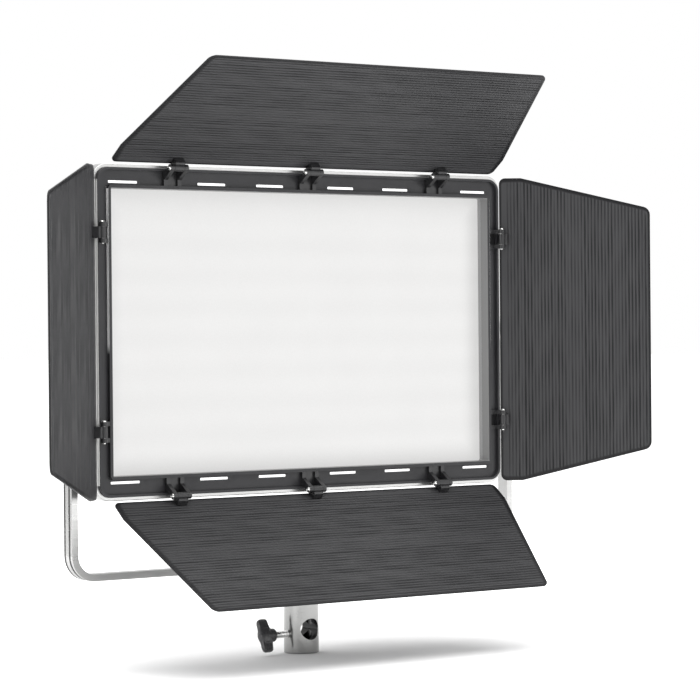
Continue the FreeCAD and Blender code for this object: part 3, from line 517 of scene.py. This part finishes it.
def build_leaf(name, kind, turn, angle, material):
    """The sheet of one door: fine wavy ridges on its inner face, a plain rim, a smooth outer face."""
    half, from_edge = leaf_outline(kind)
    length = kind["length"]
    edge = np.array([0, 0.05, 0.15, 0.30, 0.5])
    s = np.concatenate([edge, np.arange(BORDER, length - BORDER, RIDGE_PITCH / RIDGE_STEPS),
                        length - edge[::-1]])
    span = np.linspace(-1, 1, ACROSS)[1:-1]
    full = half(s)[:, None]
    left = -full + edge[None, :]
    x = np.concatenate([left, (full - BORDER) * span[None, :], -left[:, ::-1]], axis=1)
    s2 = np.repeat(s[:, None], x.shape[1], axis=1)
    away = from_edge(x, s2)
    near = np.minimum(away, EDGE_ROUND)
    drop = EDGE_ROUND - np.sqrt(np.maximum(EDGE_ROUND ** 2 - (EDGE_ROUND - near) ** 2, 0))
    ridge = s2 / RIDGE_PITCH + WAVE * np.sin(2 * np.pi * x / WAVE_LENGTH + s2 / WAVE_SHIFT)
    number = np.floor(ridge)
    # A fixed pseudo-random number from 0 to 1 for each ridge.
    chance = np.modf(np.abs(np.sin(number * 12.9898 + 4.1) * 43758.5453))[0]
    strong = (0.45 + 0.55 * chance) * (0.84 + 0.16 * np.sin(2 * np.pi * (x / SWELL_LENGTH + chance)))
    height = strong * (0.5 - 0.5 * np.cos(2 * np.pi * ridge))
    plain = (np.clip((away - PLAIN_RIM) / RIM_FADE, 0, 1)
             * np.clip((s2 - PLAIN_HINGE) / HINGE_FADE, 0, 1))
    y0 = kind["axis_y"] + kind["below"]
    inner = y0 + drop + RIDGE_DEPTH * height * plain
    outer = y0 + DOOR_T - drop
    z = kind["axis_r"] + kind["start"] + s2
    rows, columns = x.shape
    front = np.stack([x, inner, z], axis=-1).reshape(-1, 3)
    back = np.stack([x, outer, z], axis=-1).reshape(-1, 3)
    vertices = np.concatenate([front, back]) * MM
    valley = np.concatenate([(height * plain).ravel(), np.zeros(x.size)])
    rim = np.concatenate([np.clip(1 - away / PLAIN_RIM, 0, 1).ravel()] * 2)
    count = rows * columns
    faces = grid_faces(rows, columns) + grid_faces(rows, columns, count, flip=True)
    # The wall between the two faces runs once round the grid's border.
    border = [(0, j) for j in range(columns)] + [(i, columns - 1) for i in range(1, rows)]
    border += [(rows - 1, j) for j in range(columns - 2, -1, -1)]
    border += [(i, 0) for i in range(rows - 2, 0, -1)]
    ids = [i * columns + j for i, j in border]
    for a, b in zip(ids, ids[1:] + ids[:1]):
        faces.append((b, a, a + count, b + count))
    axis = Vector((0, kind["axis_y"], kind["axis_r"])) * MM
    place = (Matrix.Translation(Vector((0, FRONT_Y, PANEL_Z)) * MM)
             @ Matrix.Rotation(math.radians(turn), 4, "Y")
             @ Matrix.Translation(axis) @ Matrix.Rotation(math.radians(angle), 4, "X")
             @ Matrix.Translation(-axis))
    leaf = new_piece(name + "_door_leaf", vertices, faces, name + "_door", material,
                     (name + "_door",), place)
    for key, values in (("valley", valley), ("rim", rim)):
        layer = leaf.data.attributes.new(key, "FLOAT", "POINT")
        layer.data.foreach_set("value", values.astype(np.float32))


# ---------------------------------------------------------------- thumb screw
def rings_piece(name, rings, body, material, nodes=(), matrix=None):
    """A closed skin over rings of equal length (n, m, 3) in mm, with fans over both ends."""
    count, around, _ = rings.shape
    ends = [rings[0].mean(axis=0), rings[-1].mean(axis=0)]
    vertices = np.concatenate([rings.reshape(-1, 3), ends]) * MM
    faces = grid_faces(count, around, wrap=True)
    last = (count - 1) * around
    for j in range(around):
        k = (j + 1) % around
        faces.append((count * around, k, j))
        faces.append((count * around + 1, last + j, last + k))
    return new_piece(name, vertices, faces, body, material, nodes, matrix)


def round_power(value, power):
    return np.sign(value) * np.abs(value) ** power


WING_SQUARE = 0.62                     # 1 is an ellipse in section, less is squarer
# the recess in each paddle's faces, as parts of its width and thickness, and along it in mm
RECESS_WIDTH, RECESS_DEPTH, RECESS_PLACE, RECESS_HALF = 0.62, 0.20, 8.8, 3.4


def build_wing(material):
    """Two paddles with a shallow recess on each face, on a stepped hub."""
    turn = np.linspace(0, 2 * np.pi, 48, endpoint=False)
    stations = np.array([  # distance from the axis, centre along it, half width, half thickness
        (0.0, -8.0, 6.6, 4.2), (2.5, -8.0, 6.2, 3.8), (4.5, -8.2, 5.5, 3.2), (6.5, -8.5, 5.0, 2.9),
        (9.0, -8.8, 4.8, 2.85), (11.0, -8.8, 4.6, 2.7), (12.4, -8.7, 4.1, 2.45), (13.2, -8.6, 3.2, 1.9),
        (13.5, -8.6, 2.2, 1.2)])
    reach = np.concatenate([np.linspace(0, 12, 33), [12.4, 12.8, 13.1, 13.3, 13.42, 13.5]])
    place, wide, thick = (np.interp(reach, stations[:, 0], stations[:, i]) for i in (1, 2, 3))
    rings = []
    for sign in (-1, 1):
        half = []
        for z, cx, a, b in zip(reach, place, wide, thick):
            x = a * round_power(np.cos(turn), WING_SQUARE)
            y = b * round_power(np.sin(turn), WING_SQUARE)
            inside = np.maximum(np.abs(x) / (a * RECESS_WIDTH), abs(z - RECESS_PLACE) / RECESS_HALF)
            y = y * (1 - RECESS_DEPTH * np.clip((1.0 - inside) / 0.25, 0, 1))
            half.append(np.stack([THUMB_HUB + cx + x, y, np.full_like(x, sign * z)], axis=-1))
        rings += half[::-1] if sign < 0 else half[1:]
    lean = (Matrix.Translation(Vector((0, 0, THUMB_Z)) * MM)
            @ Matrix.Rotation(math.radians(WING_LEAN), 4, "X"))
    rings_piece("thumb_paddles", np.array(rings), "thumb_wing", material,
                ("thumb_wing",), lean)
    # hub: distance behind its front face, and radius
    profile = [(0.0, 3.3), (0.0, 4.5), (-0.3, 5.0), (-0.9, 5.3), (-1.7, 5.3), (-2.0, 4.9), (-2.3, 4.9),
               (-2.6, 5.5), (-3.2, 5.6), (-5.0, 5.3), (-6.5, 4.6), (-8.0, 3.8)]
    rings = [np.stack([np.full_like(turn, THUMB_HUB + x), r * np.cos(turn), r * np.sin(turn)], axis=-1)
             for x, r in profile]
    rings_piece("thumb_hub", np.array(rings)[::-1], "thumb_wing", material, (), lean)


THREAD_DEPTH, TIP_R, TIP_SLOPE, STUD_IN_HUB = 0.52, 2.2, 1.2, 8.0


def build_stud(material):
    """The thumb screw's threaded stud: a 6 mm thread with a pitch of 1 mm and a chamfered tip."""
    turn = np.linspace(0, 2 * np.pi, 36, endpoint=False)
    along = np.arange(THUMB_HUB - STUD_IN_HUB, THUMB_TIP + 0.01, 0.1)
    tooth = (along[:, None] + turn[None, :] / (2 * np.pi)) % 1.0
    depth = THREAD_DEPTH * np.clip(np.abs(tooth - 0.5) * 2.6 - 0.25, 0, 1)
    radius = np.minimum(THUMB_R - depth, TIP_R + (THUMB_TIP - along)[:, None] * TIP_SLOPE)
    x = np.repeat(along[:, None], turn.size, axis=1)
    rings = np.stack([x, radius * np.cos(turn), radius * np.sin(turn) + THUMB_Z], axis=-1)
    rings_piece("thumb_thread", rings, "thumb_stud", material, ("thumb_stud",))


# ---------------------------------------------------------------- printed marks on the rear panel
PANEL_FACE, DISPLAY_FACE = 41.0, 40.7
DIALS = (96.0, 124.0)
DIAL_Z = PANEL_Z - 65.0
MARK_RING, MARK_LONG, MARK_SHORT, MARK_HALF = 10.6, 2.2, 1.3, 0.22
BAR_X, BAR_Z = 70.0, PANEL_Z - 54.5
BAR_STEP, BAR_W, BAR_BASE, BAR_GROWTH, ROW_STEP = 3.9, 2.6, 2.0, 0.35, 9.5


def marks_piece(name, quads, body, material):
    """Thin printed marks: each quad is four corners (x, y, z) in mm, anticlockwise from behind."""
    vertices, faces = [], []
    for quad in quads:
        base = len(vertices)
        vertices += [tuple(c * MM for c in corner) for corner in quad]
        faces.append(tuple(range(base, base + len(quad))))
    return new_piece(name, vertices, faces, body, material, smooth=False)


def dial_marks():
    """Eleven marks round each dial, over 270 degrees; the first, middle and last are longer."""
    quads = []
    y = PANEL_FACE + 0.03
    for cx in DIALS:
        for i in range(11):
            angle = math.radians(-135 + 27 * i)
            long = MARK_LONG if i % 5 == 0 else MARK_SHORT
            out = Vector((math.sin(angle), math.cos(angle)))
            across = Vector((math.cos(angle), -math.sin(angle))) * MARK_HALF
            inner, outer = out * MARK_RING, out * (MARK_RING + long)
            corners = [inner - across, outer - across, outer + across, inner + across]
            quads.append([(cx + c.x, y, DIAL_Z + c.y) for c in corners])
    return quads


def display_bars():
    """Two rows of level bars, each bar taller than the one before."""
    quads = []
    y = DISPLAY_FACE + 0.02
    for row, lit in ((0, 8), (1, 5)):
        for i in range(lit):
            x, foot = BAR_X - i * BAR_STEP, BAR_Z - row * ROW_STEP - BAR_BASE
            head = foot + BAR_BASE + BAR_GROWTH * i
            quads.append([(x, y, foot), (x, y, head), (x - BAR_W, y, head), (x - BAR_W, y, foot)])
    return quads


# ---------------------------------------------------------------- build
ahead = camera()
FINISH = build_finishes()
for part in frame["record"]["subparts"]:
    wear(NODES[part["node"]], FINISH[part["material_slot"]])

for name, (kind, turn, angle) in DOORS.items():
    build_leaf(name, kind, turn, angle, FINISH["door_leaf"])
build_wing(FINISH["wing_black"])
build_stud(FINISH["bright_stud"])
marks_piece("dial_marks", dial_marks(), "head", FINISH["led_board"])
marks_piece("display_bars", display_bars(), "head", FINISH["led_cool"])

# ---------------------------------------------------------------- floor and light
def area_light(name, place, target, size, power):
    data = bpy.data.lights.new(name, "AREA")
    data.shape = "RECTANGLE"
    data.size, data.size_y = size
    data.energy = power
    obj = bpy.data.objects.new(name, data)
    obj.location = place
    obj.rotation_mode = "QUATERNION"
    obj.rotation_quaternion = (Vector(target) - Vector(place)).to_track_quat("-Z", "Y")
    bpy.context.scene.collection.objects.link(obj)


def flag(place, size, facing):
    """A low dark card, seen only as a reflection in polished metal."""
    mesh = bpy.data.meshes.new("flag")
    across = Vector((facing.y, -facing.x, 0)) * size[0] / 2
    foot, head = Vector(place), Vector(place) + Vector((0, 0, size[1]))
    mesh.from_pydata([foot - across, foot + across, head + across, head - across], [], [(0, 1, 2, 3)])
    card = bpy.data.objects.new("flag", mesh)
    bpy.context.scene.collection.objects.link(card)
    wear(card, moulded("flag", (0.02, 0.02, 0.02), 0.9, 400.0).material)
    card.visible_camera = card.visible_diffuse = card.visible_shadow = False


def floor():
    """A pale round floor, whose own faint light evens it out away from the object."""
    steps, reach = 96, 30.0
    glow_from, glow_full, glow = 0.03, 0.7, 0.55
    mesh = bpy.data.meshes.new("floor")
    points = [(reach * math.cos(2 * math.pi * i / steps), reach * math.sin(2 * math.pi * i / steps), 0.0)
              for i in range(steps)]
    mesh.from_pydata(points, [], [tuple(range(steps))])
    obj = bpy.data.objects.new("floor", mesh)
    bpy.context.scene.collection.objects.link(obj)
    f = Finish("floor", Roughness=1.0)
    f.shader.inputs["Specular IOR Level"].default_value = 0.0
    f.colour(f.mottle(3.0, 2.0, (0.95, 0.95, 0.95), (0.97, 0.97, 0.97)))
    x, y, _ = f.split()
    f.join(f.levels(f.hypot(x, y), glow_from, glow_full, 0.0, glow, True),
           f.shader.inputs["Emission Strength"])
    f.shader.inputs["Emission Color"].default_value = (1, 1, 1, 1)
    wear(obj, f.material)


def studio(ahead):
    """Soft light all round, stronger from behind the object; the backdrop is plain white throughout."""
    behind_from, behind_full, front_level, behind_level = -0.6, 0.25, 0.50, 1.0
    world = bpy.data.worlds.new("studio")
    world.use_nodes = True
    bpy.context.scene.world = world
    tree = world.node_tree
    background = tree.nodes["Background"]
    place = tree.nodes.new("ShaderNodeTexCoord")
    dot = tree.nodes.new("ShaderNodeVectorMath")
    dot.operation = "DOT_PRODUCT"
    dot.inputs[1].default_value = tuple(ahead)
    tree.links.new(place.outputs["Generated"], dot.inputs[0])
    level = tree.nodes.new("ShaderNodeMapRange")
    level.interpolation_type = "SMOOTHSTEP"
    set_range(level, behind_from, behind_full, front_level, behind_level)
    tree.links.new(dot.outputs["Value"], level.inputs["Value"])
    seen, even = tree.nodes.new("ShaderNodeLightPath"), tree.nodes.new("ShaderNodeMath")
    even.operation = "MAXIMUM"
    tree.links.new(seen.outputs["Is Camera Ray"], even.inputs[0])
    tree.links.new(level.outputs["Result"], even.inputs[1])
    tree.links.new(even.outputs["Value"], background.inputs["Strength"])
    background.inputs["Color"].default_value = (1, 1, 1, 1)
    # name, place, what it points at, size, power
    area_light("top", (0.0, -0.4, 2.4), (0, 0, 0.2), (3.4, 3.0), 75)
    area_light("left", (-2.2, -0.6, 0.9), (0, 0, 0.25), (1.2, 1.8), 22)
    area_light("right", (1.3, -2.3, 1.0), (0, 0, 0.25), (1.8, 2.0), 12)
    card_distance, card_size = 2.5, (0.9, 0.235)
    aside = Vector((-ahead.x, ahead.y, 0))
    flag(aside * card_distance, card_size, aside)


floor()
studio(ahead)
scene = bpy.context.scene
scene.view_settings.view_transform = "Standard"
scene.view_settings.look = "None"
